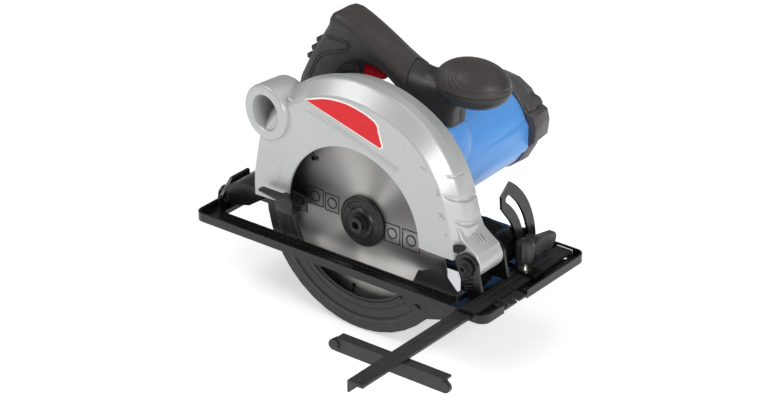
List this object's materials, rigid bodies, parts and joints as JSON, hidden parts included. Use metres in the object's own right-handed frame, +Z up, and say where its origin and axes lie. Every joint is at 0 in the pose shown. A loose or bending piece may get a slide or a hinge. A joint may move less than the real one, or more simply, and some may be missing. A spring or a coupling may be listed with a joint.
{
  "type": "circular saw",
  "caption": "Hand-held circular saw: tilting, depth-adjustable head on a pressed base with a rip fence, swinging lower guard, rear D-handle and round front knob.",
  "frame": {"origin": "on the underside of the base, directly below the arbor, in the middle of the wide land beside the blade slot", "axes": "+X is the cutting direction, +Y points along the arbor to the motor, +Z is up from the sole"},
  "size_m": [0.3548, 0.384, 0.2613],
  "materials": {
    "silver_paint": "fine textured silver-grey paint over die-cast metal",
    "black_paint": "semi-gloss black paint over pressed steel",
    "blue_plastic": "satin blue moulded housing",
    "black_plastic": "fine grained charcoal moulding",
    "soft_grip": "matt soft overmould",
    "rubber": "matt black rubber",
    "red_plastic": "semi-gloss red moulding",
    "red_plate": "gloss red printed plate with a white border",
    "blade_steel": "radially ground steel",
    "dark_steel": "black oxide steel",
    "zinc_steel": "bright zinc plate",
    "copper": "enamelled copper",
    "lamination": "stacked electrical steel",
    "carbon": "pressed carbon"
  },
  "bodies": {
    "base": {"base_plate": "black_paint", "bevel_quadrant": "black_paint", "fence_bridge": "black_paint", "cut_line_guide": "black_plastic", "front_bevel_pin": "dark_steel", "rear_bevel_pin": "dark_steel"},
    "rip_fence": {"fence_bar": "black_paint", "fence_shoe": "black_paint"},
    "fence_screw": {"fence_knob": "black_plastic"},
    "carriage": {"front_yoke": "black_paint", "depth_guide": "black_paint", "bevel_bolt": "zinc_steel", "depth_pivot_bolt": "dark_steel"},
    "bevel_knob": {"bevel_wing_knob": "black_plastic"},
    "saw_head": {"upper_guard": "silver_paint", "side_plate": "red_plate", "gear_case": "silver_paint", "motor_housing": "blue_plastic", "end_cap": "black_plastic", "handle_near": "black_plastic", "handle_far": "black_plastic", "knob_bowl": "black_plastic", "knob_pad": "soft_grip", "handle_screw_rear": "zinc_steel", "handle_screw_front": "zinc_steel", "cord_gland": "rubber", "switch_body": "black_plastic", "guard_spring": "blade_steel", "stator": "lamination", "field_coil_front": "copper", "field_coil_rear": "copper", "brush_upper": "carbon", "brush_lower": "carbon", "brush_holder_upper": "zinc_steel", "brush_holder_lower": "zinc_steel", "brush_cap_upper": "black_plastic", "brush_cap_lower": "black_plastic", "spindle_bearing": "blade_steel", "spindle_end_bearing": "blade_steel", "motor_bearing_front": "blade_steel", "motor_bearing_rear": "blade_steel", "bearing_bridge": "black_plastic", "guard_bumper": "rubber"},
    "trigger_lever": {"trigger": "red_plastic"},
    "lock_off": {"lock_off_button": "black_plastic"},
    "depth_clamp": {"depth_lever": "black_plastic"},
    "spindle_lock_pin": {"spindle_lock": "black_plastic"},
    "swing_guard": {"lower_guard": "black_paint", "guard_lever": "black_plastic", "guard_rivet": "zinc_steel"},
    "spindle_group": {"spindle": "blade_steel", "drive_gear": "blade_steel", "inner_flange": "dark_steel", "saw_blade": "blade_steel", "outer_flange": "dark_steel", "blade_bolt": "dark_steel"},
    "armature": {"armature_shaft": "blade_steel", "armature_core": "lamination", "commutator": "copper", "cooling_fan": "black_plastic"}
  },
  "joints": [
    {"name": "fence_slide", "type": "slide", "parent": "base", "child": "rip_fence", "axis": [0, 1, 0], "range_m": [-0.045, 0.08]},
    {"name": "fence_knob_turn", "type": "hinge", "parent": "base", "child": "fence_screw", "pos_m": [0.1319, -0.015, 0.02], "axis": [0, 0, 1], "range_deg": [-360, 0]},
    {"name": "bevel_tilt", "type": "hinge", "parent": "base", "child": "carriage", "pos_m": [0, -0.072, 0.014], "axis": [1, 0, 0], "range_deg": [0, 45]},
    {"name": "bevel_knob_turn", "type": "hinge", "parent": "carriage", "child": "bevel_knob", "pos_m": [0.12, 0.00514, 0.02143], "axis": [1, 0, 0], "range_deg": [0, 110]},
    {"name": "depth_swing", "type": "hinge", "parent": "carriage", "child": "saw_head", "pos_m": [0.1185, -0.072, 0.0353], "axis": [0, 1, 0], "range_deg": [0, 28]},
    {"name": "depth_lever_turn", "type": "hinge", "parent": "saw_head", "child": "depth_clamp", "pos_m": [-0.0804, -0.038, 0.05621], "axis": [0, 1, 0], "range_deg": [-80, 0]},
    {"name": "guard_swing", "type": "hinge", "parent": "saw_head", "child": "swing_guard", "pos_m": [0, -0.072, 0.0373], "axis": [0, 1, 0], "range_deg": [0, 100], "stiffness_Nm_per_rad": 0.3, "springref_deg": -45.84},
    {"name": "blade_spin", "type": "hinge", "parent": "saw_head", "child": "spindle_group", "pos_m": [0, -0.072, 0.0373], "axis": [0, 1, 0], "continuous": true},
    {"name": "armature_spin", "type": "hinge", "parent": "saw_head", "child": "armature", "pos_m": [0.00742, -0.072, 0.07022], "axis": [0, 1, 0], "continuous": true},
    {"name": "trigger_pull", "type": "hinge", "parent": "saw_head", "child": "trigger_lever", "pos_m": [-0.022, -0.006, 0.157], "axis": [0, 1, 0], "range_deg": [0, 8], "stiffness_Nm_per_rad": 0.4, "springref_deg": -17.19},
    {"name": "lock_off_push", "type": "slide", "parent": "saw_head", "child": "lock_off", "axis": [0, 1, 0], "range_m": [0, 0.003], "stiffness_N_per_m": 250, "springref_m": -0.003},
    {"name": "spindle_lock_push", "type": "slide", "parent": "saw_head", "child": "spindle_lock_pin", "axis": [0, -1, 0], "range_m": [0, 0.0025], "stiffness_N_per_m": 400, "springref_m": -0.003}
  ],
  "couplings": [
    {"joint": "armature_spin", "follows": "blade_spin", "ratio": -5}
  ]
}
